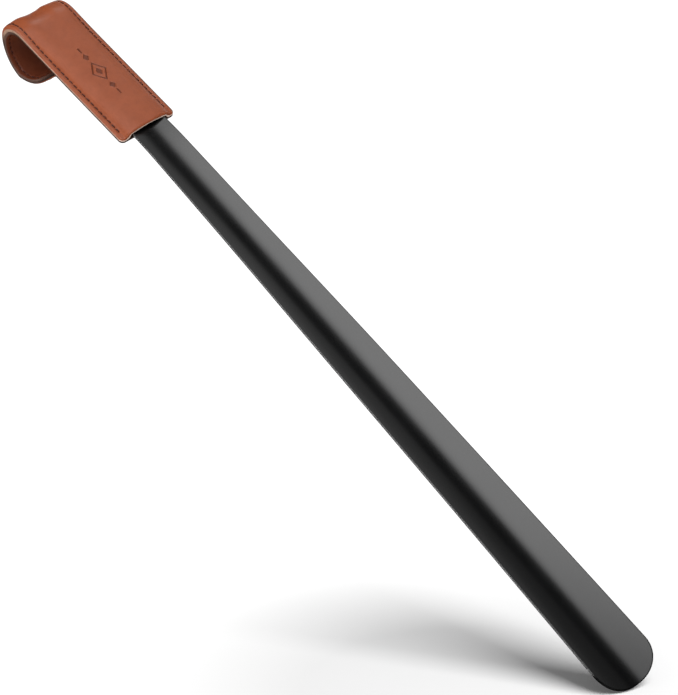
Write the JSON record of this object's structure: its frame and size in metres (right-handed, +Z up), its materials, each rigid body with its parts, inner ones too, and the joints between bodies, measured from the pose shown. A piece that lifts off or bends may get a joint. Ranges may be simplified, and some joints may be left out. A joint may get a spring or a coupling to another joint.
{
  "type": "long shoehorn",
  "caption": "Long stamped-steel shoehorn: a shallow black trough widening to a rounded tip, its top end curled into a hanging crook inside a stitched two-panel leather sleeve.",
  "frame": {"origin": "on the axis of the hanging crook, midway across the width of the sleeve", "axes": "+X across the width, +Y to the back, the side the crook curls over to, +Z up the straight sleeve; the hollow of the trough faces -Y"},
  "size_m": [0.0392, 0.0457, 0.5377],
  "materials": {
    "black_steel": "satin black powder coat",
    "tan_leather": "smooth reddish-tan finished leather with greyed, burnished cut edges",
    "thread": "waxed dark red-brown sewing thread"
  },
  "bodies": {
    "root": {"steel_horn": "black_steel", "leather_front_panel": "tan_leather", "leather_back_panel": "tan_leather", "needle_thread": "thread", "bobbin_thread": "thread"}
  },
  "joints": []
}
